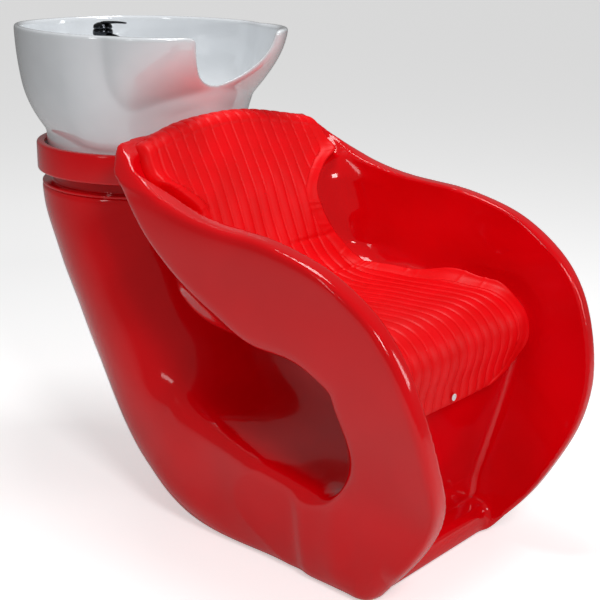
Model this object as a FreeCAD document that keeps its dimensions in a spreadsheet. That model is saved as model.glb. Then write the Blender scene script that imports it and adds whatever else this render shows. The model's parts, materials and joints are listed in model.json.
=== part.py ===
import FreeCAD, Part
import math
import os

# Salon backwash unit: a glass-fibre pedestal and seat shell, an upholstered seat pad and a
# ceramic basin that tilts on a cross pin in the column's neck. Millimetres, +Z up, -Y is the
# front where the client sits, X is across. The origin is on the floor under the base.

V = FreeCAD.Vector
doc = FreeCAD.newDocument("backwash_unit")

# ---------------------------------------------------------------- driving dimensions
sheet = doc.addObject("Spreadsheet::Sheet", "Dimensions")
DIMENSIONS = {
    "shell_wall": 8,
    "panel_wall": 28,
    "column_radius": 220,
    "column_top": 650,
    "basin_axis_y": 500,
    "neck_radius": 200,
    "neck_wall": 10,
    "neck_flange_radius": 222,
    "neck_top": 680,
    "collar_radius": 231,
    "collar_wall": 14,
    "collar_height": 61,
    "collar_flange_bore": 150,
    "collar_flange_bottom": 706,
    "collar_flange_thickness": 6,
    "gasket_thickness": 4,
    "gasket_radius": 204,
    "foot_radius": 207,
    "foot_wall": 17,
    "rim_height": 984,
    "bowl_wall": 14,
    "bowl_floor": 800,
    "neck_rest_radius": 105,
    "waste_y": 590,
    "waste_radius": 22,
    "waste_flange_radius": 36,
    "tap_x": 30,
    "tap_y": 662,
    "tap_radius": 23,
    "tap_seat": 930,
    "floor_plate_thickness": 6,
    "floor_plate_width": 260,
    "floor_plate_length": 380,
    "anchor_spacing_x": 200,
    "anchor_spacing_y": 300,
    "anchor_hole_radius": 6,
    "post_radius": 30,
    "head_plate_bottom": 600,
    "head_plate_thickness": 8,
    "hinge_height": 668,
    "hinge_pin_radius": 8,
    "hinge_clearance": 0.05,
    "ear_spacing": 130,
    "ear_thickness": 8,
    "pad_thickness": 27,
    "pad_gap": 0.4,
    "stud_radius": 7,
}
for row, (alias, value) in enumerate(DIMENSIONS.items(), start=1):
    sheet.set("A%d" % row, alias)
    sheet.set("B%d" % row, str(value))
    sheet.setAlias("B%d" % row, alias)
doc.recompute()


def dim(alias):
    return float(sheet.get(alias))


# ---------------------------------------------------------------- helpers
nodes = []


def keep(obj, label):
    obj.Label = label
    nodes.append(obj)
    return obj


def bind(obj, **expressions):
    for name, expression in expressions.items():
        obj.setExpression(name.replace("__", "."), expression)
    return obj


def sheet_name(expression):
    """Write the sheet's name in front of each alias in an expression."""
    words = sorted(DIMENSIONS, key=len, reverse=True)
    for number, word in enumerate(words):
        expression = expression.replace(word, "<%d>" % number)
    for number, word in enumerate(words):
        expression = expression.replace("<%d>" % number, "Dimensions." + word)
    return expression


def cylinder(name, radius, height, x="0", y="0", z="0"):
    obj = doc.addObject("Part::Cylinder", name)
    bind(obj, Radius=sheet_name(radius), Height=sheet_name(height))
    bind(obj, Placement__Base__x=sheet_name(x))
    bind(obj, Placement__Base__y=sheet_name(y))
    bind(obj, Placement__Base__z=sheet_name(z))
    return obj


def cross_cylinder(name, radius, length, y, z):
    """A cylinder along X, centred on the middle plane."""
    obj = doc.addObject("Part::Cylinder", name)
    obj.Placement = FreeCAD.Placement(V(0, 0, 0), FreeCAD.Rotation(V(0, 1, 0), 90))
    bind(obj, Radius=sheet_name(radius), Height=sheet_name(length))
    bind(obj, Placement__Base__x=sheet_name("-(" + length + ")/2"))
    bind(obj, Placement__Base__y=sheet_name(y))
    bind(obj, Placement__Base__z=sheet_name(z))
    return obj


def box(name, size, corner):
    obj = doc.addObject("Part::Box", name)
    bind(obj, Length=sheet_name(size[0]), Width=sheet_name(size[1]), Height=sheet_name(size[2]))
    bind(obj, Placement__Base__x=sheet_name(corner[0]))
    bind(obj, Placement__Base__y=sheet_name(corner[1]))
    bind(obj, Placement__Base__z=sheet_name(corner[2]))
    return obj


def cut(name, base, tool):
    obj = doc.addObject("Part::Cut", name)
    obj.Base = base
    obj.Tool = tool
    return obj


def fuse(name, shapes):
    obj = doc.addObject("Part::MultiFuse", name)
    obj.Shapes = shapes
    obj.Refine = True
    return obj


def feature(name, shape):
    obj = doc.addObject("Part::Feature", name)
    obj.Shape = shape
    return obj


def turned(name, profile):
    """A PartDesign body turned about the basin's vertical axis from (radius, height) points."""
    body = doc.addObject("PartDesign::Body", name + "_body")
    plane = [f for f in body.Origin.OriginFeatures if f.Role == "XZ_Plane"][0]
    sketch = body.newObject("Sketcher::SketchObject", name + "_profile")
    sketch.AttachmentSupport = [(plane, "")]
    sketch.MapMode = "FlatFace"
    corners = [V(r, z, 0) for r, z in profile]
    for start, end in zip(corners, corners[1:] + corners[:1]):
        sketch.addGeometry(Part.LineSegment(start, end), False)
    turn = body.newObject("PartDesign::Revolution", name + "_turn")
    turn.Profile = sketch
    turn.ReferenceAxis = (sketch, ["V_Axis"])
    turn.Angle = 360
    body.Placement.Base = V(0, dim("basin_axis_y"), 0)
    return body


def spline_wire(points, closed=True):
    curve = Part.BSplineCurve()
    curve.interpolate([V(*p) for p in points], PeriodicFlag=closed)
    return curve.toShape()


def prism_x(edges, low, high):
    """A solid with a given outline in the YZ plane, between two X positions."""
    face = Part.Face(Part.Wire(Part.__sortEdges__(edges)))
    solid = face.extrude(V(high - low, 0, 0))
    solid.translate(V(low, 0, 0))
    return solid


def yz_polygon(points):
    corners = [V(0, y, z) for y, z in points]
    return [Part.makeLine(a, b) for a, b in zip(corners, corners[1:] + corners[:1])]


# ---------------------------------------------------------------- shell outlines
# Half-width of the outside of the flared shell at each height.
FLARE = [(205, -20), (224, 110), (248, 220), (272, 320), (292, 430), (303, 560),
         (304, 660), (290, 735), (262, 800), (236, 850)]


def flare_band(outer_offset, inner_offset):
    """The region between two offsets of the flared half-width, on both sides, along Y."""
    def edge(offset):
        return [V(x - offset, 0, z) for x, z in FLARE]
    outer = Part.BSplineCurve()
    outer.interpolate(edge(outer_offset))
    if inner_offset is None:
        inner = Part.makeLine(V(0, 0, FLARE[0][1]), V(0, 0, FLARE[-1][1]))
        inner_low, inner_high = V(0, 0, FLARE[0][1]), V(0, 0, FLARE[-1][1])
    else:
        curve = Part.BSplineCurve()
        curve.interpolate(edge(inner_offset))
        inner = curve.toShape()
        inner_low, inner_high = edge(inner_offset)[0], edge(inner_offset)[-1]
    edges = [outer.toShape(), inner]
    edges.append(Part.makeLine(edge(outer_offset)[0], inner_low))
    edges.append(Part.makeLine(edge(outer_offset)[-1], inner_high))
    face = Part.Face(Part.Wire(Part.__sortEdges__(edges)))
    half = face.extrude(V(0, 1400, 0))
    half.translate(V(0, -600, 0))
    return half


def both_sides(half):
    return half.fuse(half.mirror(V(0, 0, 0), V(1, 0, 0))).removeSplitter()


# The leaning column: height and position of its centre line.
COLUMN_LINE = [(0, 80), (70, 175), (150, 250), (260, 318), (360, 378), (460, 432),
               (560, 483), (650, 505)]


def column(radius, low_extra=0):
    rings = []
    for z, y in COLUMN_LINE:
        circle = Part.Circle(V(0, y, z - (low_extra if z == 0 else 0)), V(0, 0, 1), radius)
        rings.append(Part.Wire(circle.toShape()))
    return Part.makeLoft(rings, True, False)


# ---------------------------------------------------------------- pedestal: column and deck
wall = dim("shell_wall")
DECK = [(-308, 0), (-308, 44), (-298, 56), (-262, 60), (-268, 190), (-60, 205), (120, 215), (120, 0)]
DECK_HOLLOW = [(-298, -5), (-298, 36), (-254, 46), (-254, 180), (-60, 194), (120, 204), (120, -5)]
between_panels = both_sides(flare_band(dim("panel_wall"), None))
between_walls = both_sides(flare_band(dim("panel_wall") + wall, None))
deck_outer = prism_x(yz_polygon(DECK), -260, 260).common(between_panels)
deck_inner = prism_x(yz_polygon(DECK_HOLLOW), -260, 260).common(between_walls)
column_outer = column(dim("column_radius"))
pedestal_outer = column_outer.fuse(deck_outer)
column_core = column(dim("column_radius") - wall, 5)
pedestal = pedestal_outer.cut(column_core).cut(deck_inner)
pedestal_shell = keep(feature("pedestal_shell", pedestal), "pedestal_shell")

# ---------------------------------------------------------------- side panels with arm loops
ARM_EDGE = [(225, 772), (170, 731), (81, 699), (-32, 682), (-150, 674), (-250, 650),
            (-330, 614), (-400, 548), (-448, 462), (-473, 354), (-470, 262), (-440, 182),
            (-390, 100), (-318, 0)]
HOLE_TOP = [(236, 690), (190, 650), (67, 568), (-60, 500), (-170, 481), (-240, 455),
            (-300, 378), (-314, 300), (-290, 243), (-230, 207), (-130, 199), (0, 222), (110, 236)]
arm_edges = [
    spline_wire([(0, y, z) for y, z in ARM_EDGE], False),
    spline_wire([(0, y, z) for y, z in HOLE_TOP], False),
    Part.makeLine(V(0, 225, 772), V(0, 236, 690)),
    Part.makeLine(V(0, -318, 0), V(0, 110, 0)),
    Part.makeLine(V(0, 110, 0), V(0, 110, 236)),
]
panel_right = prism_x(arm_edges, 120, 340).common(flare_band(0, dim("panel_wall")))
panel_right = panel_right.cut(column_outer)
panel_right = max(panel_right.Solids, key=lambda solid: solid.Volume)
panel_left = panel_right.mirror(V(0, 0, 0), V(1, 0, 0))
keep(feature("right_side_panel", panel_right), "right_side_panel")
keep(feature("left_side_panel", panel_left), "left_side_panel")

# ---------------------------------------------------------------- seat shell and seat pad
# Middle line of the sitting surface, from the top of the back to the foot of the front wall.
SEAT_LINE = [(262, 836), (222, 756), (186, 676), (150, 590), (112, 520), (50, 487), (-40, 480),
             (-140, 486), (-240, 488), (-292, 470), (-309, 420), (-300, 346)]
FRONT_WALL_FOOT = (-264, 62)


def offset_line(line, distance):
    """Shift each point of a line along its own normal."""
    shifted = []
    for index, (y, z) in enumerate(line):
        before = line[max(index - 1, 0)]
        after = line[min(index + 1, len(line) - 1)]
        along = V(0, after[0] - before[0], after[1] - before[1]).normalize()
        shifted.append((y + along.z * distance, z - along.y * distance))
    return shifted


def layer(near, far, tail):
    """The solid between two offsets of the sitting line, with an optional straight tail."""
    side_a = offset_line(SEAT_LINE, near)
    side_b = offset_line(SEAT_LINE, far)
    edges = [spline_wire([(0, y, z) for y, z in side_a], False)]
    edges.append(spline_wire([(0, y, z) for y, z in side_b], False))
    ends = [V(0, *side_a[-1]), V(0, *side_b[-1])]
    if tail:
        feet = [V(0, tail[0] - near, tail[1]), V(0, tail[0] - far, tail[1])]
        edges.append(Part.makeLine(ends[0], feet[0]))
        edges.append(Part.makeLine(ends[1], feet[1]))
        ends = feet
    edges.append(Part.makeLine(*ends))
    edges.append(Part.makeLine(V(0, *side_a[0]), V(0, *side_b[0])))
    return prism_x(edges, -320, 320)


def arched_top(corner_half_width, top, drop):
    """The region under an arch across the top of the back."""
    low = 40
    arch = Part.Arc(V(-corner_half_width, 0, top - drop), V(0, 0, top), V(corner_half_width, 0, top - drop))
    edges = [arch.toShape()]
    corners = [V(corner_half_width, 0, top - drop), V(corner_half_width, 0, low),
               V(-corner_half_width, 0, low), V(-corner_half_width, 0, top - drop)]
    edges += [Part.makeLine(a, b) for a, b in zip(corners, corners[1:])]
    region = Part.Face(Part.Wire(Part.__sortEdges__(edges))).extrude(V(0, 1200, 0))
    region.translate(V(0, -600, 0))
    return region


seat = layer(0, -wall, FRONT_WALL_FOOT).common(between_panels)
seat = seat.common(arched_top(290, 835, 70)).cut(pedestal_outer)
seat = max(seat.Solids, key=lambda solid: solid.Volume)
keep(feature("seat_shell", seat), "seat_shell")

pad_sides = both_sides(flare_band(dim("panel_wall") + 14, None))
pad_gap = dim("pad_gap")
pad = layer(pad_gap, pad_gap + dim("pad_thickness"), None).common(pad_sides)
pad = pad.common(arched_top(262, 838, 66))
pad = max(pad.Solids, key=lambda solid: solid.Volume)
keep(feature("seat_pad", pad), "seat_pad")

# Snap stud on the front wall that holds the pad's flap.
stud_y, stud_z = -302 - dim("pad_thickness") - pad_gap, 356
stud_head = Part.makeCylinder(dim("stud_radius"), 9, V(0, stud_y + 4, stud_z), V(0, -1, 0))
stud_shape = max(stud_head.cut(pad).Solids, key=lambda solid: solid.Volume)
keep(feature("pad_stud", stud_shape), "pad_stud")

# ---------------------------------------------------------------- neck on top of the column
NECK = [
    (dim("neck_radius") - dim("neck_wall"), dim("column_top")),
    (dim("neck_flange_radius"), dim("column_top")),
    (dim("neck_flange_radius"), dim("column_top") + 3),
    (dim("neck_flange_radius") - 3, dim("column_top") + 6),
    (dim("neck_radius"), dim("column_top") + 6),
    (dim("neck_radius"), dim("neck_top")),
    (dim("neck_radius") - dim("neck_wall"), dim("neck_top")),
]
keep(turned("column_neck", NECK), "column_neck")

# ---------------------------------------------------------------- steel frame inside
floor_box = box("floor_box", ("floor_plate_width", "floor_plate_length", "floor_plate_thickness"),
                ("-floor_plate_width/2", "-floor_plate_length/2", "0"))
anchor_holes = []
for side in ("-", ""):
    for end in ("-", ""):
        anchor_holes.append(cylinder(
            "anchor_hole", "anchor_hole_radius", "floor_plate_thickness+2",
            side + "anchor_spacing_x/2", end + "anchor_spacing_y/2", "-1"))
holes = fuse("anchor_holes", anchor_holes)
keep(cut("floor_plate", floor_box, holes), "floor_plate")

plate_top = dim("floor_plate_thickness")
head_bottom = dim("head_plate_bottom")
post_foot = V(0, 120, plate_top)
post_head = V(0, 500, head_bottom)
lean = post_head - post_foot
post_start = post_foot - lean.normalize() * 60
post_solid = Part.makeCylinder(dim("post_radius"), 900, post_start, lean)
post_bore = Part.makeCylinder(dim("post_radius") - 4, 900, post_start, lean)
slab = Part.makeBox(600, 1200, head_bottom - plate_top, V(-300, -300, plate_top))
keep(feature("support_post", post_solid.cut(post_bore).common(slab)), "support_post")

head_plate = box("head_plate", ("ear_spacing+2*ear_thickness", "100", "head_plate_thickness"),
                 ("-ear_spacing/2-ear_thickness", "basin_axis_y-50", "head_plate_bottom"))
keep(head_plate, "head_plate")

for name, corner in (("left_hinge_ear", "-ear_spacing/2-ear_thickness"), ("right_hinge_ear", "ear_spacing/2")):
    ear = box(name + "_blank", ("ear_thickness", "44", "hinge_height+22-head_plate_bottom-head_plate_thickness"),
              (corner, "basin_axis_y-22", "head_plate_bottom+head_plate_thickness"))
    bore = cross_cylinder(name + "_bore", "hinge_pin_radius", "ear_spacing+4*ear_thickness",
                          "basin_axis_y", "hinge_height")
    keep(cut(name, ear, bore), name)

keep(cross_cylinder("hinge_pin", "hinge_pin_radius", "ear_spacing+4*ear_thickness",
                    "basin_axis_y", "hinge_height"), "hinge_pin")

# ---------------------------------------------------------------- tilting collar and bracket
flange_low = dim("collar_flange_bottom")
flange_high = flange_low + dim("collar_flange_thickness")
ring_bore = dim("collar_radius") - dim("collar_wall")
ring_top = dim("neck_top") + dim("collar_height")
COLLAR = [
    (ring_bore, dim("neck_top")),
    (dim("collar_radius") - 4, dim("neck_top")),
    (dim("collar_radius"), dim("neck_top") + 4),
    (dim("collar_radius"), ring_top - 4),
    (dim("collar_radius") - 4, ring_top),
    (ring_bore, ring_top),
    (ring_bore, flange_high),
    (dim("collar_flange_bore"), flange_high),
    (dim("collar_flange_bore"), flange_low),
    (ring_bore, flange_low),
]
keep(turned("collar_ring", COLLAR), "collar_ring")

tilt_bar = box("tilt_bar", ("2*(collar_flange_bore+24)", "70", "6"),
               ("-collar_flange_bore-24", "basin_axis_y-35", "collar_flange_bottom-6"))
keep(tilt_bar, "tilt_bar")
knuckle_tube = cross_cylinder("knuckle_tube", "hinge_pin_radius+7", "ear_spacing-4",
                              "basin_axis_y", "hinge_height")
knuckle_web = box("knuckle_web", ("ear_spacing-14", "12", "collar_flange_bottom-6-hinge_height"),
                  ("-ear_spacing/2+7", "basin_axis_y-6", "hinge_height"))
knuckle_bore = cross_cylinder("knuckle_bore", "hinge_pin_radius+hinge_clearance", "ear_spacing+20",
                              "basin_axis_y", "hinge_height")
keep(cut("tilt_knuckle", fuse("knuckle_blank", [knuckle_tube, knuckle_web]), knuckle_bore), "tilt_knuckle")

gasket_low = flange_high
gasket_high = gasket_low + dim("gasket_thickness")
GASKET = [(dim("gasket_radius") - 12, gasket_low), (dim("gasket_radius"), gasket_low),
          (dim("gasket_radius"), gasket_high), (dim("gasket_radius") - 12, gasket_high)]
keep(turned("basin_gasket", GASKET), "basin_gasket")

# ---------------------------------------------------------------- ceramic basin
# Each section of the outside: height, half-width, front and rear position, front fullness.
BASIN_SECTIONS = [(752, 214, 286, 716), (780, 222, 284, 738), (830, 240, 276, 772),
                  (890, 255, 252, 806), (940, 258, 236, 820)]


def basin_ring(height, half_width, front, rear, inset=0):
    """An egg-shaped ring: widest behind the front wings, narrower at the rear."""
    middle = front + 0.42 * (rear - front)
    points = []
    for index in range(12):
        angle = math.tau * index / 12
        reach = (rear - middle if math.sin(angle) > 0 else middle - front) - inset
        points.append(((half_width - inset) * math.cos(angle), middle + reach * math.sin(angle), height))
    return Part.Wire(spline_wire(points))


basin_axis = dim("basin_axis_y")
rim = dim("rim_height")
foot_top = BASIN_SECTIONS[0][0]
outside = [basin_ring(*section) for section in BASIN_SECTIONS]
outside.append(basin_ring(rim, 258, 226, 826))
bowl_out = Part.makeLoft(outside, True, False)
foot_height = foot_top - gasket_high
foot = Part.makeCylinder(dim("foot_radius"), foot_height + 20, V(0, basin_axis, gasket_high))
foot_core = Part.makeCylinder(dim("foot_radius") - dim("foot_wall"), 60, V(0, basin_axis, gasket_high))
floor_z = dim("bowl_floor")
inset = dim("bowl_wall")
inside = [basin_ring(floor_z, 150, 360, 690), basin_ring(840, 222, 306, 762)]
inside.append(basin_ring(890, 255, 272, 800, inset))
inside.append(basin_ring(940, 258, 258, 820, inset))
inside.append(basin_ring(rim + 10, 258, 248, 828, inset))
bowl_in = Part.makeLoft(inside, True, False)
rest_cut = Part.makeCylinder(dim("neck_rest_radius"), 240, V(0, 120, rim), V(0, 1, 0))
waste_hole = Part.makeCylinder(dim("waste_radius"), 200, V(0, dim("waste_y"), floor_z - 150))
ledge_radius = dim("tap_radius") + 12
ledge = Part.makeCylinder(ledge_radius, 152, V(dim("tap_x"), dim("tap_y"), dim("tap_seat") - 152))
ledge = ledge.common(bowl_out)
tap_shank_hole = Part.makeCylinder(11, 400, V(dim("tap_x"), dim("tap_y"), 600))
basin = bowl_out.fuse(foot).cut(foot_core).cut(bowl_in).cut(rest_cut)
basin = basin.fuse(ledge).cut(waste_hole).cut(tap_shank_hole)
basin = max(basin.removeSplitter().Solids, key=lambda solid: solid.Volume)
keep(feature("ceramic_basin", basin), "ceramic_basin")

# ---------------------------------------------------------------- waste fitting and strainer
waste_y = dim("waste_y")
waste_r = dim("waste_radius")
waste_tube = Part.makeCylinder(waste_r, 130, V(0, waste_y, floor_z - 130))
waste_flange = Part.makeCylinder(dim("waste_flange_radius"), 3, V(0, waste_y, floor_z))
waste_bore = Part.makeCylinder(waste_r - 3, 140, V(0, waste_y, floor_z - 133))
keep(feature("waste_fitting", waste_tube.fuse(waste_flange).cut(waste_bore).removeSplitter()), "waste_fitting")
underside = gasket_high + 60
nut = Part.makeCylinder(waste_r + 12, 10, V(0, waste_y, underside - 10))
keep(feature("waste_nut", nut.cut(Part.makeCylinder(waste_r, 30, V(0, waste_y, underside - 20)))), "waste_nut")

strainer_r = waste_r - 4.5
cup = Part.makeCylinder(strainer_r, 22, V(0, waste_y, floor_z - 16))
cup = cup.cut(Part.makeCylinder(strainer_r - 2, 22, V(0, waste_y, floor_z - 14)))
lip = Part.makeCylinder(waste_r + 2, 2, V(0, waste_y, floor_z + 3.3))
lip = lip.cut(Part.makeCylinder(strainer_r - 2, 4, V(0, waste_y, floor_z + 2.5)))
strainer = cup.fuse(lip)
for index in range(6):
    turn = math.radians(60 * index)
    centre = V(9 * math.cos(turn), waste_y + 9 * math.sin(turn), floor_z - 20)
    strainer = strainer.cut(Part.makeCylinder(2.5, 10, centre))
keep(feature("hair_strainer", strainer.removeSplitter()), "hair_strainer")

# ---------------------------------------------------------------- single-lever mixer
tap = V(dim("tap_x"), dim("tap_y"), dim("tap_seat"))
tap_r = dim("tap_radius")
base_disc = Part.makeCylinder(tap_r + 6, 5, tap)
keep(feature("mixer_base", base_disc.cut(Part.makeCylinder(11, 5, tap))), "mixer_base")
shank = Part.makeCylinder(10.5, 202, tap + V(0, 0, -192))
body_tube = Part.makeCylinder(tap_r, 25, tap + V(0, 0, 5))
keep(feature("mixer_body", shank.fuse(body_tube).removeSplitter()), "mixer_body")
spout_hub = tap + V(0, 0, 18)
spout = Part.makeCone(10, 8, 58, spout_hub + V(0, -tap_r + 4, 0), V(0, -1, -0.25))
spout_core = Part.makeCylinder(tap_r, 30, tap + V(0, 0, 5))
keep(feature("mixer_spout", spout.cut(spout_core)), "mixer_spout")
hub_low = tap + V(0, 0, 30.5)
hub = Part.makeCylinder(tap_r - 1, 14, hub_low)
hub_slot = Part.makeBox(12, 60, 8, hub_low + V(-6, -45, 7.5))
pin_centre = hub_low + V(0, -3, 11.5)
lever_pin = Part.makeCylinder(1.5, 24, pin_centre - V(12, 0, 0), V(1, 0, 0))
keep(feature("lever_hub", hub.cut(hub_slot).cut(lever_pin)), "lever_hub")
keep(feature("lever_pin", lever_pin), "lever_pin")
lever = Part.makeBox(11, 80, 6, hub_low + V(-5.5, -80, 8.5))
lever = lever.makeFillet(2, [edge for edge in lever.Edges if abs(edge.tangentAt(edge.FirstParameter).z) > 0.9])
lever = lever.cut(Part.makeCylinder(1.56, 24, pin_centre - V(12, 0, 0), V(1, 0, 0)))
keep(feature("mixer_lever", lever.removeSplitter()), "mixer_lever")
shank_nut = Part.makeCylinder(18, 10, V(tap.x, tap.y, 745))
shank_nut = shank_nut.cut(Part.makeCylinder(10.5, 30, V(tap.x, tap.y, 735)))
keep(feature("mixer_nut", shank_nut), "mixer_nut")

# Hot and cold inlet tails under the mixer shank.
for name, side in (("hot_inlet_tail", -1), ("cold_inlet_tail", 1)):
    tail = Part.makeCylinder(5, 22, V(tap.x + side * 5.2, tap.y, tap.z - 192 - 22))
    keep(feature(name, tail), name)

# ---------------------------------------------------------------- fasteners
bolts = []
for side in (-1, 1):
    for end in (-1, 1):
        centre = V(side * (dim("collar_flange_bore") + 12), basin_axis + end * 20, flange_low - 6)
        bolts.append(Part.makeCylinder(7, 5, centre - V(0, 0, 5)))
keep(feature("tilt_bar_bolts", Part.makeCompound(bolts)), "tilt_bar_bolts")
clips = []
half_pin = (dim("ear_spacing") + 4 * dim("ear_thickness")) / 2
for side in (-1, 1):
    start = V(side * (half_pin - dim("ear_thickness")), basin_axis, dim("hinge_height"))
    ring = Part.makeCylinder(13, 2, start, V(side, 0, 0))
    clips.append(ring.cut(Part.makeCylinder(dim("hinge_pin_radius"), 2, start, V(side, 0, 0))))
keep(feature("pin_clips", Part.makeCompound(clips)), "pin_clips")

# ---------------------------------------------------------------- check and write
doc.recompute()
for obj in doc.Objects:
    if {"Invalid", "Error"} & set(obj.State):
        raise RuntimeError("failed: " + obj.Name)
os.makedirs("parts", exist_ok=True)
for obj in nodes:
    shape = obj.Shape
    if shape.isNull() or not shape.isValid() or not shape.Solids:
        raise RuntimeError("bad shape: " + obj.Label)
    low, high = shape.BoundBox, shape.BoundBox
    print("%-18s solids %d volume %10.0f  x %7.1f %7.1f  y %7.1f %7.1f  z %7.1f %7.1f" % (
        obj.Label, len(shape.Solids), shape.Volume, low.XMin, high.XMax, low.YMin, high.YMax,
        low.ZMin, high.ZMax))
    shape.exportStep("parts/" + obj.Label + ".step")
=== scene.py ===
import json
import math

import bpy
import numpy as np
from mathutils import Matrix, Vector


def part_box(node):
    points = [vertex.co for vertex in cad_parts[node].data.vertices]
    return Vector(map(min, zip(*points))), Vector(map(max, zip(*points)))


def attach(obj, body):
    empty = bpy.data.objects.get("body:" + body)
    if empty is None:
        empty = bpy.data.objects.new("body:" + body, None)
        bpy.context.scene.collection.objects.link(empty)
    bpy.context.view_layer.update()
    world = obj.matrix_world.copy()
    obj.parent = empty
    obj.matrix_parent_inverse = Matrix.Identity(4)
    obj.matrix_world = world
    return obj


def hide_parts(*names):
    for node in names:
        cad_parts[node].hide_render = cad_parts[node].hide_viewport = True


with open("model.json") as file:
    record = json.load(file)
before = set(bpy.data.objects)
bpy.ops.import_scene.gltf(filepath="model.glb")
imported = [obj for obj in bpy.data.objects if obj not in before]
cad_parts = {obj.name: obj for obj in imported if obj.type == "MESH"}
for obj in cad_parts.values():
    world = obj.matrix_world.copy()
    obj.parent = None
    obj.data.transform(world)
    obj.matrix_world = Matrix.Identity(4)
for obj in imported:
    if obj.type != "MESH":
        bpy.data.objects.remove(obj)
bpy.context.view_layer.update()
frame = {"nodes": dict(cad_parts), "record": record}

# The shell, pad and basin are built here from smooth distance fields and curves, in metres,
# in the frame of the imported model: floor at z = 0, the front of the seat towards -Y, the
# basin at +Y, and everything but the mixer symmetric about x = 0.

BODY_STEP = 0.004
BASIN_STEP = 0.003
AXIS_Y = 0.50           # vertical axis of the collar and the basin's foot
PANEL_WALL = 0.029      # thickness of the arm panels
SEAT_WALL = 0.014       # thickness of the seat shell, which grows towards the top of the back
SLOPE_SIDE = 0.97       # keeps a sideways gap to the flared panels close to a true distance
BACK_HALF = 0.268       # half-width of the back's top


# ------------------------------------------------------------------ curves and fields
def cubic(points):
    """A natural cubic spline through (key, value...) rows, as a function of the key."""
    rows = np.array(sorted(points), float)
    keys, values = rows[:, 0], rows[:, 1:]
    gaps = np.diff(keys)
    count = len(keys)
    system = np.zeros((count, count))
    right = np.zeros((count, values.shape[1]))
    system[0, 0] = system[-1, -1] = 1.0
    slopes = np.diff(values, axis=0) / gaps[:, None]
    for i in range(1, count - 1):
        system[i, i - 1:i + 2] = gaps[i - 1], 2 * (gaps[i - 1] + gaps[i]), gaps[i]
        right[i] = 6 * (slopes[i] - slopes[i - 1])
    bend = np.linalg.solve(system, right)

    def read(query):
        query = np.clip(np.asarray(query, float), keys[0], keys[-1])
        i = np.clip(np.searchsorted(keys, query) - 1, 0, count - 2)
        gap = gaps[i]
        a = (keys[i + 1] - query) / gap
        b = 1 - a
        columns = []
        for c in range(values.shape[1]):
            columns.append(a * values[i, c] + b * values[i + 1, c] + gap ** 2 / 6 * (
                (a ** 3 - a) * bend[i, c] + (b ** 3 - b) * bend[i + 1, c]))
        return columns[0] if len(columns) == 1 else np.stack(columns, -1)
    return read


def smooth_line(points, samples):
    """Points evenly along a natural cubic curve through the given points."""
    points = np.array(points, float)
    length = np.concatenate([[0], np.cumsum(np.linalg.norm(np.diff(points, axis=0), axis=1))])
    curve = cubic([(d, *p) for d, p in zip(length, points)])
    return curve(np.linspace(0, length[-1], samples))


def outline_distance(outline, y, z):
    """Signed distance to a closed outline in the YZ plane, negative inside."""
    nearest = np.full(y.shape, 1e9)
    inside = np.zeros(y.shape, bool)
    for (ay, az), (by, bz) in zip(outline, np.roll(outline, -1, axis=0)):
        ey, ez = by - ay, bz - az
        size = ey * ey + ez * ez
        if size == 0:
            continue
        along = np.clip(((y - ay) * ey + (z - az) * ez) / size, 0, 1)
        gap = (y - ay - along * ey) ** 2 + (z - az - along * ez) ** 2
        nearest = np.minimum(nearest, gap)
        if az != bz:
            crosses = (z < max(az, bz)) & (z >= min(az, bz))
            inside ^= crosses & (y < ay + (z - az) * ey / ez)
    return np.sqrt(nearest) * np.where(inside, -1, 1)


class Table:
    """A distance field of a YZ outline, sampled once and read back by interpolation."""

    def __init__(self, outline, low=(-0.62, -0.10), high=(0.86, 1.02), step=0.004):
        self.low, self.step = low, step
        ys = np.arange(low[0], high[0] + step, step)
        zs = np.arange(low[1], high[1] + step, step)
        grid_y, grid_z = np.meshgrid(ys, zs, indexing="ij")
        self.values = outline_distance(np.array(outline), grid_y, grid_z).astype(np.float32)

    def read(self, y, z):
        size_y, size_z = self.values.shape
        row = np.clip((y - self.low[0]) / self.step, 0, size_y - 1.001)
        column = np.clip((z - self.low[1]) / self.step, 0, size_z - 1.001)
        i, j = row.astype(int), column.astype(int)
        p, q = row - i, column - j
        v = self.values
        return ((1 - p) * (1 - q) * v[i, j] + p * (1 - q) * v[i + 1, j]
                + (1 - p) * q * v[i, j + 1] + p * q * v[i + 1, j + 1])


def join(a, b, blend):
    """Union of two fields with a fillet."""
    near = np.maximum(blend - np.abs(a - b), 0) / blend
    return np.minimum(a, b) - near ** 3 * blend / 6


def meet(a, b, blend):
    """Intersection of two fields with a rounded edge."""
    return -join(-a, -b, blend)


def ramp(value, start, end):
    """A smooth step from 0 at start to 1 at end."""
    part = np.clip((value - start) / (end - start), 0, 1)
    return part * part * (3 - 2 * part)


def half_grid(low, high, step):
    """Coordinates of a regular grid between two corners."""
    axes = [np.arange(low[i], high[i] + step, step) for i in range(3)]
    return np.meshgrid(*axes, indexing="ij")


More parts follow.
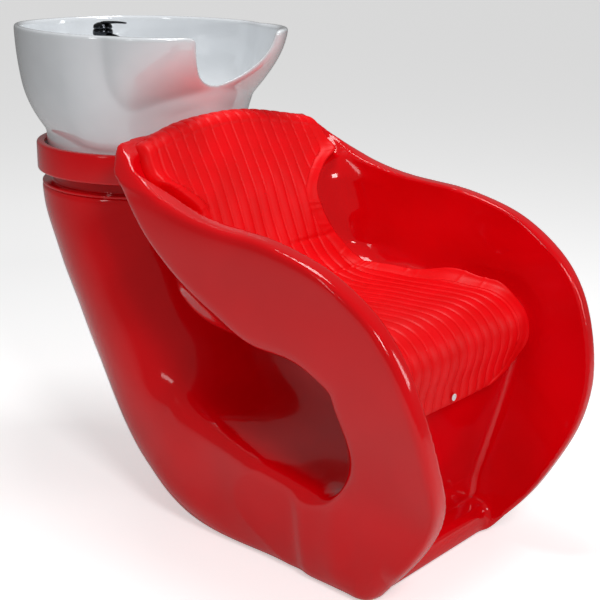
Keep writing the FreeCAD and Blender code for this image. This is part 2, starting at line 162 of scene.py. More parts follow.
def net(field, low, step):
    """The surface where a field on a grid is zero: one vertex a cell, one quad a crossing."""
    sign = field < 0
    shape = np.array(field.shape)
    strides = np.array([shape[1] * shape[2], shape[2], 1])
    points, cells, quads = [], [], []
    for axis in range(3):
        first = [slice(None)] * 3
        second = [slice(None)] * 3
        first[axis], second[axis] = slice(0, -1), slice(1, None)
        crossing = np.argwhere(sign[tuple(first)] != sign[tuple(second)])
        u, v = (axis + 1) % 3, (axis + 2) % 3
        inner = (crossing[:, u] > 0) & (crossing[:, v] > 0)
        inner &= (crossing[:, u] < shape[u] - 1) & (crossing[:, v] < shape[v] - 1)
        crossing = crossing[inner]
        step_out = np.zeros(3, int)
        step_out[axis] = 1
        near = field[tuple(crossing.T)]
        far = field[tuple((crossing + step_out).T)]
        where = crossing.astype(float)
        where[:, axis] += near / (near - far)
        corners = []
        for du, dv in ((0, 0), (1, 0), (1, 1), (0, 1)):
            cell = crossing.copy()
            cell[:, u] -= du
            cell[:, v] -= dv
            corners.append(cell @ strides)
            points.append(where)
            cells.append(corners[-1])
        ring = np.stack(corners, 1)
        flip = near < 0
        ring[~flip] = ring[~flip][:, ::-1]
        quads.append(ring)
    cells = np.concatenate(cells)
    points = np.concatenate(points)
    quads = np.concatenate(quads)
    names, index = np.unique(cells, return_inverse=True)
    totals = np.stack([np.bincount(index, points[:, c]) for c in range(3)], 1)
    vertices = totals / np.bincount(index)[:, None]
    return vertices * step + np.array(low), np.searchsorted(names, quads)


def relax(vertices, quads, rounds):
    """Even out a net by moving each vertex towards the mean of its neighbours."""
    pairs = np.concatenate([quads[:, [i, (i + 1) % 4]] for i in range(4)])
    pairs = np.concatenate([pairs, pairs[:, ::-1]])
    degree = np.bincount(pairs[:, 0], minlength=len(vertices))[:, None]
    for turn in range(rounds):
        for share in (0.55, -0.57):
            total = np.stack([np.bincount(pairs[:, 0], vertices[pairs[:, 1], c],
                                          minlength=len(vertices)) for c in range(3)], 1)
            vertices = vertices + share * (total / degree - vertices)
    return vertices


def mesh_object(name, vertices, faces, smooth=True):
    """A new object in the scene from vertices and faces."""
    mesh = bpy.data.meshes.new(name)
    mesh.from_pydata([tuple(v) for v in vertices], [], [tuple(map(int, f)) for f in faces])
    mesh.update()
    if smooth:
        mesh.polygons.foreach_set("use_smooth", np.ones(len(mesh.polygons), bool))
    piece = bpy.data.objects.new(name, mesh)
    bpy.context.scene.collection.objects.link(piece)
    return piece


def field_object(name, half, low, step, rounds=6):
    """A mesh from the x >= 0 half of a symmetric field, with x = 0 as its first layer."""
    whole = np.concatenate([half[:0:-1], half], axis=0)
    start = (-(half.shape[0] - 1) * step, low[1], low[2])
    vertices, quads = net(whole, start, step)
    return mesh_object(name, relax(vertices, quads, rounds), quads)


# ------------------------------------------------------------------ shell of the unit
# Side view of the rim, from the corner of the back over the arm and down to the foot.
ARM_EDGE = [(0.231, 0.766), (0.181, 0.737), (0.081, 0.699), (-0.032, 0.682), (-0.118, 0.677),
            (-0.200, 0.663), (-0.265, 0.644), (-0.321, 0.616), (-0.378, 0.574), (-0.423, 0.516),
            (-0.455, 0.439), (-0.474, 0.354), (-0.470, 0.259), (-0.443, 0.188), (-0.400, 0.115),
            (-0.345, 0.045), (-0.300, -0.010)]
# Side view of the loop's opening, from behind the arm round to the deck.
HOLE_EDGE = [(0.245, 0.735), (0.195, 0.668), (0.140, 0.615), (0.067, 0.568), (-0.026, 0.520),
             (-0.100, 0.486), (-0.180, 0.481), (-0.235, 0.464), (-0.286, 0.406), (-0.312, 0.330),
             (-0.300, 0.262), (-0.250, 0.205), (-0.190, 0.170), (-0.110, 0.160), (0.000, 0.170),
             (0.110, 0.180)]
# Side view of the sitting surface, from the top of the back to the foot of the front wall.
SEAT_EDGE = [(0.312, 0.900), (0.282, 0.836), (0.240, 0.756), (0.198, 0.680), (0.166, 0.600),
             (0.130, 0.530), (0.070, 0.482), (-0.020, 0.468), (-0.120, 0.474), (-0.230, 0.480),
             (-0.295, 0.470), (-0.318, 0.440), (-0.310, 0.390), (-0.304, 0.345), (-0.282, 0.200),
             (-0.262, 0.110)]
FLARE = cubic([(-0.02, 0.196), (0.03, 0.212), (0.13, 0.228), (0.20, 0.238), (0.26, 0.252),
               (0.354, 0.277), (0.44, 0.294), (0.52, 0.303), (0.60, 0.307), (0.66, 0.308),
               (0.70, 0.302), (0.737, 0.287), (0.766, 0.273), (0.82, 0.262), (0.90, 0.262)])
COLUMN_LINE = cubic([(0.0, 0.075), (0.077, 0.180), (0.140, 0.242), (0.198, 0.283), (0.279, 0.330),
                     (0.342, 0.367), (0.410, 0.404), (0.473, 0.440), (0.538, 0.471),
                     (0.596, 0.496), (0.65, 0.505)])
COLUMN_RADIUS = 0.220
# Half-width of the base's footprint from the front to the back.
BASE_WIDTH = cubic([(-0.345, 0.100), (-0.320, 0.150), (-0.300, 0.185), (-0.270, 0.207),
                    (-0.245, 0.217), (-0.126, 0.205), (-0.009, 0.188), (0.119, 0.166),
                    (0.216, 0.145), (0.30, 0.110)])
COLUMN_TOP = 0.652

rim_outline = list(smooth_line(ARM_EDGE, 160)) + [(-0.20, -0.09), (0.85, -0.09), (0.85, 1.00),
                                                  (0.60, 0.98), (0.283, 0.796)]
hole_outline = list(smooth_line(HOLE_EDGE, 140)) + [(0.60, 0.20), (0.60, 0.735)]
seat_outline = list(smooth_line(SEAT_EDGE, 140)) + [
    (-0.262, 0.060), (-0.296, 0.056), (-0.306, 0.048), (-0.310, 0.036), (-0.310, -0.09),
    (-0.61, -0.09), (-0.61, 1.01), (0.34, 1.01)]
deck_outline = [(-0.310, -0.09), (-0.310, 0.040), (-0.300, 0.054), (-0.250, 0.058), (-0.262, 0.192),
                (-0.190, 0.200), (-0.090, 0.214), (0.040, 0.232), (0.200, 0.250), (0.200, -0.09)]
rim_table = Table(rim_outline)
hole_table = Table(hole_outline)
seat_table = Table(seat_outline)
deck_table = Table(deck_outline)


def back_wrap(x, y, z):
    """How far the sitting surface curls forward away from the middle plane."""
    return 0.15 * x * x * ramp(z, 0.50, 0.68)


def outer_half_width(y, z):
    """Half-width over the arm panels, which draw in a little at the low front."""
    tuck = 0.022 * ramp(-y, 0.30, 0.46) * ramp(-z, -0.36, -0.16)
    return FLARE(z) - tuck


def cavity(x, y, z):
    """The open space where the client sits and the calves hang, negative inside."""
    floor = seat_table.read(y + back_wrap(x, y, z), z)
    opened = 0.055 * ramp(z, 0.70, 0.77)
    side = (np.abs(x) - outer_half_width(y, z) + PANEL_WALL - opened) * SLOPE_SIDE
    front = ramp(-y, 0.14, 0.26) * ramp(-z, -0.56, -0.48)
    under_arm = np.maximum(ramp(z, 0.48, 0.60), 0.35 * ramp(y, -0.12, 0.02))
    corner = 0.09 + 0.11 * under_arm - 0.14 * ramp(z, 0.66, 0.75) - 0.058 * front
    return meet(floor, side, corner)


def body_field(x, y, z):
    """The whole moulding: arm panels and seat shell, cut at the rim, joined to the foot."""
    half = outer_half_width(y, z)
    crown = 0.012 * np.clip(1 - (x / BACK_HALF) ** 2, 0, 1) * ramp(y, 0.12, 0.22)
    rim = rim_table.read(y, z - crown)
    sheet = (np.abs(x - half + PANEL_WALL / 2) - PANEL_WALL / 2) * SLOPE_SIDE
    panel = meet(sheet, -hole_table.read(y, z), 0.030)
    rear_edge = -0.16 + 0.26 * ramp(z, 0.26, 0.38) + 0.155 * ramp(z, 0.36, 0.62)
    panel = meet(panel, y - rear_edge, 0.030)
    panel = meet(panel, (x - BASE_WIDTH(y) - 0.02 - 1.1 * np.maximum(z, 0)) * 0.7, 0.03)
    space = cavity(x, y, z)
    wall = SEAT_WALL + 0.010 * ramp(z, 0.55, 0.70)
    seat = meet(-space, space - wall, 0.004)
    seat = np.maximum(seat, y - 0.33)
    seat = np.maximum(seat, (x - half) * SLOPE_SIDE)
    shell = meet(join(panel, seat, 0.080), rim, 0.024)
    reach = np.sqrt(x * x + (y - COLUMN_LINE(z)) ** 2)
    column = (reach - COLUMN_RADIUS + 0.045 * (1 - np.clip(z / 0.12, 0, 1)) ** 2) * 0.87
    column = meet(column, z - COLUMN_TOP, 0.016)
    base_half = BASE_WIDTH(y) + 0.045 * (1 - (1 - np.clip(z / 0.16, 0, 1)) ** 2)
    deck = meet(deck_table.read(y, z), (x - np.minimum(base_half, half)) * SLOPE_SIDE, 0.060)
    foot = join(deck, column, 0.14)
    whole = join(shell, foot, 0.050)
    whole = meet(whole, -space, 0.006)
    return meet(whole, 0.0015 - z, 0.030)


def build_body():
    """The shell moulding as one mesh."""
    low = (0.0, -0.500, -0.020)
    x, y, z = half_grid(low, (0.330, 0.760, 0.860), BODY_STEP)
    return field_object("shell_moulding", body_field(x, y, z).astype(np.float32), low, BODY_STEP)


# ------------------------------------------------------------------ ceramic basin
RIM_HEIGHT = 0.982
BOWL_MIDDLE = 0.46
BOWL_SIDE = cubic([(0.70, 0.160), (0.735, 0.192), (0.765, 0.214), (0.80, 0.233), (0.84, 0.2455),
                   (0.88, 0.2520), (0.93, 0.2560), (0.985, 0.2570), (1.02, 0.2570)])
BOWL_REAR = cubic([(0.70, 0.196), (0.735, 0.236), (0.765, 0.266), (0.80, 0.295), (0.84, 0.319),
                   (0.88, 0.330), (0.93, 0.338), (0.985, 0.342), (1.02, 0.343)])
BOWL_FRONT = cubic([(0.70, 0.120), (0.765, 0.160), (0.80, 0.160), (0.84, 0.172), (0.88, 0.186),
                    (0.93, 0.203), (0.985, 0.215), (1.02, 0.216)])
REST_HALF = 0.112       # half-width and depth of the neck recess
REST_DEPTH = 0.106
WASTE_Y = 0.59
WASTE_RADIUS = 0.0222
SKIRT_RADIUS = 0.2085   # round foot that stands in the collar
SKIRT_TOP = 0.865
SKIRT_FOOT = 0.7165
BASIN_FLOOR = 0.800
CORE_RADIUS = 0.190     # open space below the bowl, inside the foot
CORE_TOP = 0.778
BOWL_WALL = 0.012
WING_MIDDLE = 0.36
WING_SIDE = cubic([(0.74, 0.090), (0.80, 0.146), (0.84, 0.189), (0.88, 0.214), (0.93, 0.226),
                   (0.985, 0.230), (1.02, 0.231)])
WING_FRONT = cubic([(0.74, 0.004), (0.807, 0.022), (0.845, 0.058), (0.894, 0.112), (0.927, 0.143),
                    (0.985, 0.170), (1.02, 0.172)])


def egg(x, y, side, rear, front, middle, power):
    """Distance-like field of an egg-shaped ring at each height."""
    dy = y - middle
    reach = np.where(dy > 0, rear, front)
    ratio = (np.abs(x / side) ** power + np.abs(dy / reach) ** power) ** (1 / power)
    ratio = np.maximum(ratio, 1e-3)
    return (1 - 1 / ratio) * np.sqrt(x * x + dy * dy) * 0.9


def basin_field(x, y, z):
    """The bowl and its neck lobe on a round foot, hollowed, with the neck recess cut out."""
    bowl = egg(x, y, BOWL_SIDE(z), BOWL_REAR(z), BOWL_FRONT(z), BOWL_MIDDLE, 2.0)
    wing = egg(x, y, WING_SIDE(z), 0.20, WING_FRONT(z), WING_MIDDLE, 2.3)
    outside = join(bowl, wing, 0.010)
    reach = np.sqrt(x * x + (y - AXIS_Y) ** 2)
    skirt = np.maximum(reach - SKIRT_RADIUS, z - SKIRT_TOP)
    inside = join(bowl + BOWL_WALL, wing + BOWL_WALL + 0.006, 0.030)
    floor = BASIN_FLOOR + 0.10 * (x * x + (y - WASTE_Y) ** 2)
    inside = meet(inside, floor - z, 0.140)
    solid = join(outside, skirt, 0.006)
    solid = np.maximum(solid, SKIRT_FOOT - z)
    core = np.maximum(reach - CORE_RADIUS, z - CORE_TOP)
    solid = np.maximum(solid, -core)
    solid = meet(solid, -inside, 0.004)
    level = RIM_HEIGHT - 0.004 * ramp(y, 0.45, 0.75) * ramp(-np.abs(x), -0.26, 0.0)
    solid = meet(solid, z - level, 0.012)
    depth = np.maximum(RIM_HEIGHT + 0.004 + 0.25 * np.maximum(y - 0.34, 0) - z, 0)
    power = 1.9
    rest = ((x / REST_HALF) ** power + (depth / REST_DEPTH) ** power) ** (1 / power) - 1
    rest = np.maximum(rest * REST_DEPTH, y - 0.46)
    solid = meet(solid, -rest, 0.036)
    waste = np.sqrt(x * x + (y - WASTE_Y) ** 2) - WASTE_RADIUS
    return meet(solid, -waste, 0.004)


def build_basin():
    """The ceramic basin as one mesh."""
    low = (0.0, 0.150, 0.700)
    x, y, z = half_grid(low, (0.285, 0.850, 1.010), BASIN_STEP)
    return field_object("basin_bowl", basin_field(x, y, z).astype(np.float32), low, BASIN_STEP, 5)


# ------------------------------------------------------------------ seat pad
RIB_PITCH = 0.0285      # spacing of the sewn channels
PAD_THICK = 0.022
PAD_BORDER = 0.038      # width of the plain strip beside the ribs
EDGE_PUCKERS = 40
BEND_FOLDS = 10
BEND_AT = 0.375         # distance along the pad where the back turns into the seat


def march(x, y, z, ny, nz, offset, start=0.16, rounds=26):
    """Move points from above the sitting surface down to a given height over it."""
    high = np.full(x.shape, start)
    low = np.full(x.shape, -0.03)
    for turn in range(rounds):
        middle = (high + low) / 2
        value = cavity(x, y + ny * middle, z + nz * middle) + offset
        free = value < 0
        high = np.where(free, middle, high)
        low = np.where(free, low, middle)
    return high


# Half-width of the pad by distance along the sitting line from the top of the back.
PAD_HALF = cubic([(-0.06, 0.250), (0.0, 0.256), (0.072, 0.256), (0.115, 0.229), (0.145, 0.212),
                  (0.178, 0.193), (0.210, 0.180), (0.260, 0.180), (0.310, 0.192), (0.350, 0.205),
                  (0.410, 0.215), (0.500, 0.229), (0.620, 0.240), (0.760, 0.246), (0.820, 0.245),
                  (0.850, 0.241), (0.876, 0.232), (0.898, 0.216), (0.915, 0.188), (0.928, 0.150)])
RIM_HALF = 0.0115       # half the thickness of the back's rim, which the pad folds over
WRAP_TURN = math.radians(165)


def pad_thickness(x, distance, half, first, last):
    """Height of the cover over the shell: ribs, border, wrinkles and rounded edges."""
    edge = half - np.abs(x)
    rounding = np.minimum(edge, np.minimum(distance - first, last - distance))
    rounding = np.maximum(rounding, 0)
    thick = PAD_THICK * np.sqrt(1 - (1 - np.clip(rounding / 0.014, 0, 1)) ** 2)
    ribs_half = half - PAD_BORDER
    lane = x / RIB_PITCH
    phase = np.abs(2 * (lane - np.floor(lane)) - 1)
    bulge = 0.0024 * (1 - phase ** 3.0) - 0.0016 * np.exp(-((1 - phase) / 0.07) ** 2)
    to_border = np.abs(np.abs(x) - ribs_half)
    border = 0.0030 * (1 - np.exp(-(to_border / 0.008) ** 2)) - 0.0010
    relief = np.where(np.abs(x) < ribs_half, bulge, border) * np.clip(rounding / 0.012, 0, 1)
    rng = np.random.default_rng(7)
    wrinkle = np.zeros(x.shape)
    for count in range(EDGE_PUCKERS):
        side = rng.choice([-1, 1])
        spot = rng.uniform(0.03, last - 0.05)
        place = side * (PAD_HALF(spot) - rng.uniform(0.006, 0.03))
        slant = rng.uniform(-0.5, 0.5)
        long, wide = rng.uniform(0.012, 0.03), rng.uniform(0.0025, 0.005)
        across, along = x - place, distance - spot
        wrinkle += rng.uniform(0.0003, 0.0009) * np.exp(
            -(across / long) ** 2 - ((along - slant * across) / wide) ** 2)
    for count in range(BEND_FOLDS):
        centre = BEND_AT + rng.uniform(-0.06, 0.06)
        shift, long = rng.uniform(-0.15, 0.15), rng.uniform(0.05, 0.14)
        wrinkle -= rng.uniform(0.0010, 0.0026) * np.exp(
            -((x - shift) / long) ** 2
            - ((distance - centre - 0.25 * (x - shift) ** 2) / rng.uniform(0.004, 0.008)) ** 2)
    slow = 0.0012 * np.sin(x * 31 + distance * 17) * np.sin(distance * 23 + 1.3)
    return 0.0008 + np.maximum(thick + relief + (wrinkle + slow) * (thick > 0.012), 0.0)


def build_pad():
    """The ribbed cover, laid on the sitting surface and folded over the back's rim."""
    rows = 380
    across = 281
    hem = (-0.3035, 0.332)
    line = smooth_line(SEAT_EDGE[1:-3] + [hem], rows)
    tangent = np.gradient(line, axis=0)
    tangent /= np.linalg.norm(tangent, axis=1)[:, None]
    distance = np.concatenate([[0], np.cumsum(np.linalg.norm(np.diff(line, axis=0), axis=1))])
    half = PAD_HALF(distance)[:, None]
    u = np.linspace(-1, 1, across)[None, :]
    x = u * half
    drop = (0.046 + 0.040 * (x / BACK_HALF) ** 2) * ramp(line[:, 1:], 0.60, 0.836)
    z0 = line[:, 1:] - drop
    back_y = np.interp(z0, line[::-1, 1][-rows // 2:], line[::-1, 0][-rows // 2:])
    y0 = np.where(line[:, 1:] > 0.56, back_y, line[:, :1]) - back_wrap(x, 0, z0)
    ny = np.repeat(tangent[:, 1:], across, 1)
    nz = np.repeat(-tangent[:, :1], across, 1)
    first, last = -WRAP_TURN * (RIM_HALF + 0.010), distance[-1]
    height = pad_thickness(x, distance[:, None] + 0 * x, half, first, last)
    top = march(x, y0, z0, ny, nz, height)
    under = march(x, y0, z0, ny, nz, np.full(x.shape, 0.0006))
    upper = np.stack([x, y0 + ny * top, z0 + nz * top], -1)
    lower = np.stack([x, y0 + ny * under, z0 + nz * under], -1)
    wraps = 30
    fold = np.linspace(1, 0, wraps, endpoint=False)[:, None] * WRAP_TURN
    fold_distance = -fold * (RIM_HALF + 0.010) + 0 * x[:1]
    fold_half = PAD_HALF(fold_distance)
    fold_x = u * fold_half
    fold_height = pad_thickness(fold_x, fold_distance, fold_half, first, last)
    start = np.arctan2(nz[:1], ny[:1])
    angle = start - fold
    centre_y = lower[:1, :, 1] - ny[:1] * RIM_HALF
    centre_z = lower[:1, :, 2] - nz[:1] * RIM_HALF
    reach = RIM_HALF + fold_height + 0.0006
    fold_upper = np.stack([fold_x, centre_y + reach * np.cos(angle),
                           centre_z + reach * np.sin(angle)], -1)
    reach = RIM_HALF + 0.0008 + 0 * fold_height
    fold_lower = np.stack([fold_x, centre_y + reach * np.cos(angle),
                           centre_z + reach * np.sin(angle)], -1)
    upper = np.concatenate([fold_upper, upper])
    lower = np.concatenate([fold_lower, lower])
    vertices = np.concatenate([upper.reshape(-1, 3), lower.reshape(-1, 3)])
    rows = len(upper)
    count = rows * across
    grid = np.arange(count).reshape(rows, across)
    quads = np.stack([grid[:-1, :-1], grid[1:, :-1], grid[1:, 1:], grid[:-1, 1:]], -1).reshape(-1, 4)
    loop = np.concatenate([grid[0, :-1], grid[:-1, -1], grid[-1, :0:-1], grid[:0:-1, 0]])
    following = np.roll(loop, -1)
    sides = np.stack([loop, following, following + count, loop + count], -1)
    faces = np.concatenate([quads, quads[:, ::-1] + count, sides])
    return mesh_object("seat_pad_cover", vertices, faces)


# ------------------------------------------------------------------ turned parts
def turned(name, profile, centre=(0, AXIS_Y), segments=160):
    """A closed ring from a (radius, height) profile turned about a vertical axis."""
    profile = np.array(profile, float)
    angles = np.linspace(0, math.tau, segments, endpoint=False)
    rows = len(profile)
    vertices = []
    for angle in angles:
        for radius, height in profile:
            vertices.append((centre[0] + radius * math.cos(angle),
                             centre[1] + radius * math.sin(angle), height))
    faces = []
    for s in range(segments):
        t = (s + 1) % segments
        for r in range(rows):
            q = (r + 1) % rows
            faces.append((s * rows + r, t * rows + r, t * rows + q, s * rows + q))
    return mesh_object(name, vertices, faces)


def rounded(profile, radius, steps=5):
    """Round the corners of a closed profile with arcs."""
    profile = [np.array(p, float) for p in profile]
    result = []
    for i, corner in enumerate(profile):
        before, after = profile[i - 1], profile[(i + 1) % len(profile)]
        to_before, to_after = before - corner, after - corner
        size = min(radius, np.linalg.norm(to_before) * 0.45, np.linalg.norm(to_after) * 0.45)
        start = corner + to_before / np.linalg.norm(to_before) * size
        end = corner + to_after / np.linalg.norm(to_after) * size
        for k in range(steps + 1):
            t = k / steps
            result.append((1 - t) ** 2 * start + 2 * t * (1 - t) * corner + t * t * end)
    return result


body = build_body()
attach(body, "stand")
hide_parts("pedestal_shell", "left_side_panel", "right_side_panel", "seat_shell")

bowl = build_basin()
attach(bowl, "basin")
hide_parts("ceramic_basin")

pad = build_pad()
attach(pad, "stand")
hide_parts("seat_pad")

# Ring under the basin, with a small lip that holds the ceramic foot.
COLLAR_OUTER, COLLAR_INNER, COLLAR_LIP = 0.231, 0.217, 0.2135
COLLAR_LOW, COLLAR_HIGH = 0.680, 0.741
collar_profile = [(COLLAR_INNER, COLLAR_LOW), (COLLAR_OUTER, COLLAR_LOW), (COLLAR_OUTER, COLLAR_HIGH),
                  (COLLAR_LIP, COLLAR_HIGH), (COLLAR_LIP, 0.730), (COLLAR_INNER, 0.726)]
collar = turned("collar_band", rounded(collar_profile, 0.006))
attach(collar, "basin")
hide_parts("collar_ring")
# Ring on top of the column, with a flange that laps the column's edge.
NECK_OUTER, NECK_INNER, NECK_FLANGE = 0.200, 0.186, 0.222
NECK_LOW, NECK_FLANGE_TOP, NECK_HIGH = 0.6505, 0.656, 0.679
neck_profile = [(NECK_INNER, NECK_LOW), (NECK_FLANGE, NECK_LOW), (NECK_FLANGE, NECK_FLANGE_TOP),
                (NECK_OUTER, NECK_FLANGE_TOP), (NECK_OUTER, NECK_HIGH), (NECK_INNER, NECK_HIGH)]
neck = turned("neck_ring", rounded(neck_profile, 0.003))
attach(neck, "stand")
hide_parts("column_neck")


# ------------------------------------------------------------------ mixer tap
def tube(name, path, widths, heights, segments=28):
    """A closed tapering bar through points in the plane x = TAP_X, with rounded ends."""
    path = np.array(path, float)
    along = np.gradient(path, axis=0)
    along /= np.linalg.norm(along, axis=1)[:, None]
    vertices = []
    for (y, z), (ty, tz), wide, tall in zip(path, along, widths, heights):
        for k in range(segments):
            turn = math.tau * k / segments
            lift = tall * math.sin(turn)
            vertices.append((TAP_X + wide * math.cos(turn), y - tz * lift, z + ty * lift))
    faces = [tuple(range(segments)), tuple(range(len(vertices) - 1, len(vertices) - segments - 1, -1))]
    for row in range(len(path) - 1):
        for k in range(segments):
            n = (k + 1) % segments
            a, b = row * segments, (row + 1) * segments
            faces.append((a + n, a + k, b + k, b + n))
    return mesh_object(name, vertices, faces)


def tapered(start, end, steps=24, tip=0.12):
    """Half-sizes running from start to end, closing in a round tip at both ends."""
    share = np.linspace(0, 1, steps)
    close = np.sqrt(np.clip(1 - (1 - np.minimum(share, 1 - share) / tip) ** 2, 0.01, 1))
    close = np.where(np.minimum(share, 1 - share) > tip, 1, close)
    return (start + (end - start) * share) * close


hub_low, hub_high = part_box("lever_hub")
BODY_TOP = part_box("mixer_body")[1][2]
TAP_X = (hub_low[0] + hub_high[0]) / 2
TAP_Y = (hub_low[1] + hub_high[1]) / 2
HUB_RADIUS = (hub_high[0] - hub_low[0]) / 2
TAP_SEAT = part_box("mixer_base")[1][2]
AXIS_GAP = 0.0004       # the turned parts stop this far from their own axis


def build_tap():
    """The tap's body, the lever's hub, the spout and the lever blade."""
    centre = (TAP_X, TAP_Y)
    base = TAP_SEAT
    top = BODY_TOP
    belly = [(AXIS_GAP, base), (0.0150, base), (0.0150, base + 0.003), (0.0195, base + 0.007),
             (0.0225, base + 0.014), (0.0225, top - 0.004), (0.0205, top), (AXIS_GAP, top)]
    case = turned("tap_body", rounded(belly, 0.004), centre, 64)
    low, high = hub_low[2], hub_high[2]
    dome = [(AXIS_GAP, low), (HUB_RADIUS - 0.002, low), (HUB_RADIUS, low + 0.003),
            (HUB_RADIUS - 0.002, low + 0.009), (0.011, high), (AXIS_GAP, high)]
    cap = turned("tap_lever_hub", rounded(dome, 0.004), centre, 64)
    low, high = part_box("mixer_spout")
    share = np.linspace(0, 1, 24)
    reach = TAP_Y - 0.012 - share * (TAP_Y - 0.012 - low[1])
    spout = tube("tap_spout", np.stack([reach, high[2] - 0.012 - 0.012 * share ** 1.6], 1),
                 tapered(0.0105, 0.0088), tapered(0.0085, 0.0072))
    low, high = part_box("mixer_lever")
    reach = high[1] + 0.006 - share * (high[1] + 0.006 - low[1])
    rise = low[2] + 0.0035 + 0.0050 * np.sin(share * math.pi * 0.62)
    blade = tube("tap_lever_blade", np.stack([reach, rise], 1), tapered(0.0095, 0.0052),
                 tapered(0.0040, 0.0020))
    return case, cap, spout, blade


tap_case, tap_cap, tap_spout, tap_blade = build_tap()
for piece, carrier, node in ((tap_case, "basin", "mixer_body"), (tap_cap, "lever_hub", "lever_hub"),
                             (tap_spout, "basin", "mixer_spout"), (tap_blade, "lever", "mixer_lever")):
    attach(piece, carrier)
    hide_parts(node)


# ------------------------------------------------------------------ materials
def material(name, color, roughness, metallic=0.0, coat=0.0, coat_roughness=0.03):
    """A new material with its nodes, links and shader."""
    made = bpy.data.materials.new(name)
    made.use_nodes = True
    shader = made.node_tree.nodes["Principled BSDF"]
    shader.inputs["Base Color"].default_value = (*color, 1)
    shader.inputs["Roughness"].default_value = roughness
    shader.inputs["Metallic"].default_value = metallic
    shader.inputs["Coat Weight"].default_value = coat
    shader.inputs["Coat Roughness"].default_value = coat_roughness
    return made, made.node_tree.nodes, made.node_tree.links, shader


def noise(nodes, links, scale, detail=4.0):
    """A noise texture on object coordinates."""
    coordinates = nodes.new("ShaderNodeTexCoord")
    made = nodes.new("ShaderNodeTexNoise")
    made.inputs["Scale"].default_value = scale
    made.inputs["Detail"].default_value = detail
    links.new(coordinates.outputs["Object"], made.inputs["Vector"])
    return made


def color_ramp(nodes, links, source, low, high, start=0.35, end=0.65):
    """Colour that varies from low to high with a source."""
    made = nodes.new("ShaderNodeValToRGB")
    made.color_ramp.elements[0].position = start
    made.color_ramp.elements[1].position = end
    made.color_ramp.elements[0].color = (*low, 1)
    made.color_ramp.elements[1].color = (*high, 1)
    links.new(source, made.inputs["Fac"])
    return made.outputs["Color"]


def bump(nodes, links, shader, source, strength, distance):
    """Surface relief from a source."""
    made = nodes.new("ShaderNodeBump")
    made.inputs["Strength"].default_value = strength
    made.inputs["Distance"].default_value = distance
    links.new(source, made.inputs["Height"])
    links.new(made.outputs["Normal"], shader.inputs["Normal"])


def gelcoat():
    """Polished red gelcoat, with a faint unevenness."""
    made, nodes, links, shader = material("red_gelcoat_gloss", (0.75, 0.0, 0.004), 0.11, coat=0.30,
                                          coat_roughness=0.02)
    shader.inputs["Specular IOR Level"].default_value = 0.25
    wave = noise(nodes, links, 7.0, 1.0)
    base = color_ramp(nodes, links, wave.outputs["Fac"], (0.70, 0.0, 0.003), (0.77, 0.0, 0.004))
    links.new(base, shader.inputs["Base Color"])
    bump(nodes, links, shader, wave.outputs["Fac"], 0.04, 0.002)
    return made


def vinyl():
    """Satin red upholstery vinyl, with a fine grain."""
    made, nodes, links, shader = material("red_vinyl_grain", (0.88, 0.0, 0.003), 0.42)
    shader.inputs["Specular IOR Level"].default_value = 0.20
    coordinates = nodes.new("ShaderNodeTexCoord")
    cells = nodes.new("ShaderNodeTexVoronoi")
    cells.feature = "DISTANCE_TO_EDGE"
    cells.inputs["Scale"].default_value = 620.0
    links.new(coordinates.outputs["Object"], cells.inputs["Vector"])
    wave = noise(nodes, links, 14.0, 3.0)
    base = color_ramp(nodes, links, wave.outputs["Fac"], (0.84, 0.0, 0.002), (0.93, 0.0, 0.004))
    links.new(base, shader.inputs["Base Color"])
    bump(nodes, links, shader, cells.outputs["Distance"], 0.12, 0.0008)
    return made


def glaze():
    """White ceramic glaze."""
    made, nodes, links, shader = material("white_glaze", (0.80, 0.83, 0.86), 0.12, coat=1.0,
                                          coat_roughness=0.02)
    wave = noise(nodes, links, 9.0, 2.0)
    base = color_ramp(nodes, links, wave.outputs["Fac"], (0.77, 0.80, 0.83), (0.82, 0.85, 0.88))
    links.new(base, shader.inputs["Base Color"])
    bump(nodes, links, shader, wave.outputs["Fac"], 0.06, 0.002)
    return made


def metal(name, color, roughness, spread):
    """Metal whose tone varies by the given share."""
    made, nodes, links, shader = material(name, color, roughness, metallic=1.0)
    wave = noise(nodes, links, 60.0, 5.0)
    low = tuple(c * (1 - spread) for c in color)
    base = color_ramp(nodes, links, wave.outputs["Fac"], low, color)
    links.new(base, shader.inputs["Base Color"])
    return made


def plain(name, color, roughness):
    """Plain plastic or rubber, slightly mottled."""
    made, nodes, links, shader = material(name, color, roughness)
    wave = noise(nodes, links, 80.0, 4.0)
    low = tuple(c * 0.85 for c in color)
    base = color_ramp(nodes, links, wave.outputs["Fac"], low, color)
    links.new(base, shader.inputs["Base Color"])
    bump(nodes, links, shader, wave.outputs["Fac"], 0.1, 0.0005)
    return made


looks = {
    "red_gelcoat": gelcoat(),
    "red_vinyl": vinyl(),
    "white_ceramic": glaze(),
    "chrome": metal("polished_chrome", (0.85, 0.86, 0.88), 0.08, 0.04),
    "zinc_steel": metal("zinc_plate", (0.56, 0.57, 0.60), 0.34, 0.20),
    "black_chrome": metal("dark_chrome", (0.045, 0.048, 0.055), 0.10, 0.15),
    "brass": metal("plain_brass", (0.70, 0.50, 0.22), 0.25, 0.12),
    "grey_rubber": plain("grey_rubber_matt", (0.10, 0.10, 0.10), 0.75),
    "black_plastic": plain("black_nylon", (0.03, 0.03, 0.032), 0.45),
}
slot_of = {part["node"]: part["material_slot"] for part in frame["record"]["subparts"]}
for node, holder in frame["nodes"].items():
    holder.data.materials.clear()
    holder.data.materials.append(looks[slot_of[node]])
for piece, slot in ((body, "red_gelcoat"), (bowl, "white_ceramic"), (pad, "red_vinyl"),
                    (collar, "red_gelcoat"), (neck, "red_gelcoat"),
                    (tap_case, "black_chrome"), (tap_cap, "black_chrome"),
                    (tap_spout, "black_chrome"), (tap_blade, "black_chrome")):
    piece.data.materials.append(looks[slot])


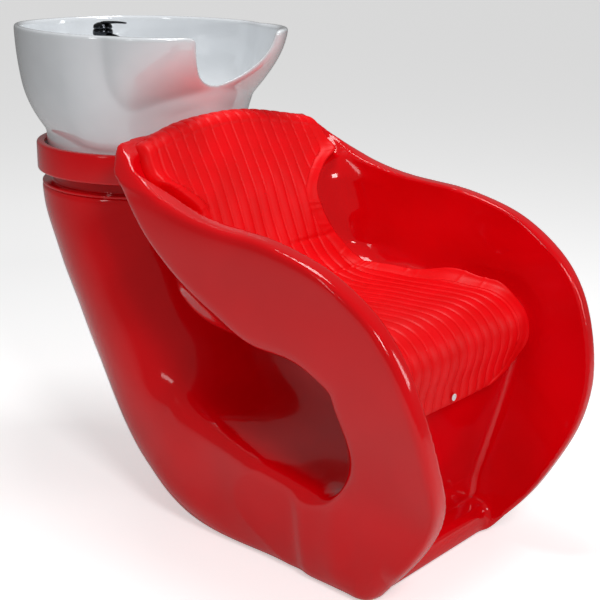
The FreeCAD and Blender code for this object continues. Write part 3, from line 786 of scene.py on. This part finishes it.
# ------------------------------------------------------------------ stage, lights, camera
def stage_floor():
    """A wide pale floor, lit up a little for the camera only."""
    size = 30.0
    floor = mesh_object("stage_floor", [(-size, -size, 0), (size, -size, 0), (size, size, 0),
                                        (-size, size, 0)], [(0, 1, 2, 3)], False)
    made, nodes, links, shader = material("stage_white", (0.93, 0.93, 0.93), 0.85)
    seen = nodes.new("ShaderNodeEmission")
    seen.inputs["Strength"].default_value = 0.50
    both = nodes.new("ShaderNodeAddShader")
    links.new(shader.outputs["BSDF"], both.inputs[0])
    links.new(seen.outputs["Emission"], both.inputs[1])
    path = nodes.new("ShaderNodeLightPath")
    pick = nodes.new("ShaderNodeMixShader")
    links.new(path.outputs["Is Camera Ray"], pick.inputs["Fac"])
    links.new(shader.outputs["BSDF"], pick.inputs[1])
    links.new(both.outputs["Shader"], pick.inputs[2])
    links.new(pick.outputs["Shader"], nodes["Material Output"].inputs["Surface"])
    floor.data.materials.append(made)


def area_light(name, place, target, size, power, tall):
    """A soft rectangular lamp that points at a target."""
    data = bpy.data.lights.new(name, "AREA")
    data.shape = "RECTANGLE"
    data.size = size
    data.size_y = tall
    data.energy = power
    lamp = bpy.data.objects.new(name, data)
    lamp.location = place
    lamp.rotation_euler = (Vector(target) - Vector(place)).to_track_quat("-Z", "Y").to_euler()
    bpy.context.scene.collection.objects.link(lamp)


def set_camera():
    """The camera, placed by its heading, pitch and roll."""
    azimuth, pitch, roll = math.radians(-49.187), math.radians(17.144), math.radians(0.668)
    back = Vector((math.sin(azimuth) * math.cos(pitch), -math.cos(azimuth) * math.cos(pitch),
                   math.sin(pitch)))
    right = Vector((math.cos(azimuth), math.sin(azimuth), 0))
    up = back.cross(right)
    turned_right = right * math.cos(roll) + up * math.sin(roll)
    turned_up = up * math.cos(roll) - right * math.sin(roll)
    data = bpy.data.cameras.new("camera")
    data.sensor_width = 36.0
    data.lens = 75.14
    camera = bpy.data.objects.new("camera", data)
    spin = Matrix((turned_right, turned_up, back)).transposed().to_4x4()
    camera.matrix_world = Matrix.Translation((-1.829, -1.533, 1.21)) @ spin
    bpy.context.scene.collection.objects.link(camera)
    bpy.context.scene.camera = camera


stage_floor()
world = bpy.data.worlds.new("studio")
world.use_nodes = True
sky_nodes, sky_links = world.node_tree.nodes, world.node_tree.links
soft = sky_nodes["Background"]
soft.inputs["Color"].default_value = (1, 1, 1, 1)
soft.inputs["Strength"].default_value = 0.20
paper = sky_nodes.new("ShaderNodeBackground")
paper.inputs["Strength"].default_value = 1.0
sight = sky_nodes.new("ShaderNodeLightPath")
choose = sky_nodes.new("ShaderNodeMixShader")
sky_links.new(sight.outputs["Is Camera Ray"], choose.inputs["Fac"])
sky_links.new(soft.outputs["Background"], choose.inputs[1])
sky_links.new(paper.outputs["Background"], choose.inputs[2])
sky_links.new(choose.outputs["Shader"], sky_nodes["World Output"].inputs["Surface"])
bpy.context.scene.world = world
area_light("key", (-1.6, -2.6, 2.9), (0, 0, 0.5), 0.9, 54, 0.9)
area_light("side_window", (-2.8, 0.4, 1.9), (0, 0.1, 0.5), 0.3, 6, 1.2)
area_light("front_fill", (1.8, -2.6, 1.6), (0, -0.2, 0.4), 0.5, 13, 1.2)
area_light("top", (0.2, 0.3, 3.2), (0, 0, 0.5), 1.0, 34, 1.0)
set_camera()
bpy.context.scene.view_settings.view_transform = "Standard"

bpy.context.view_layer.update()
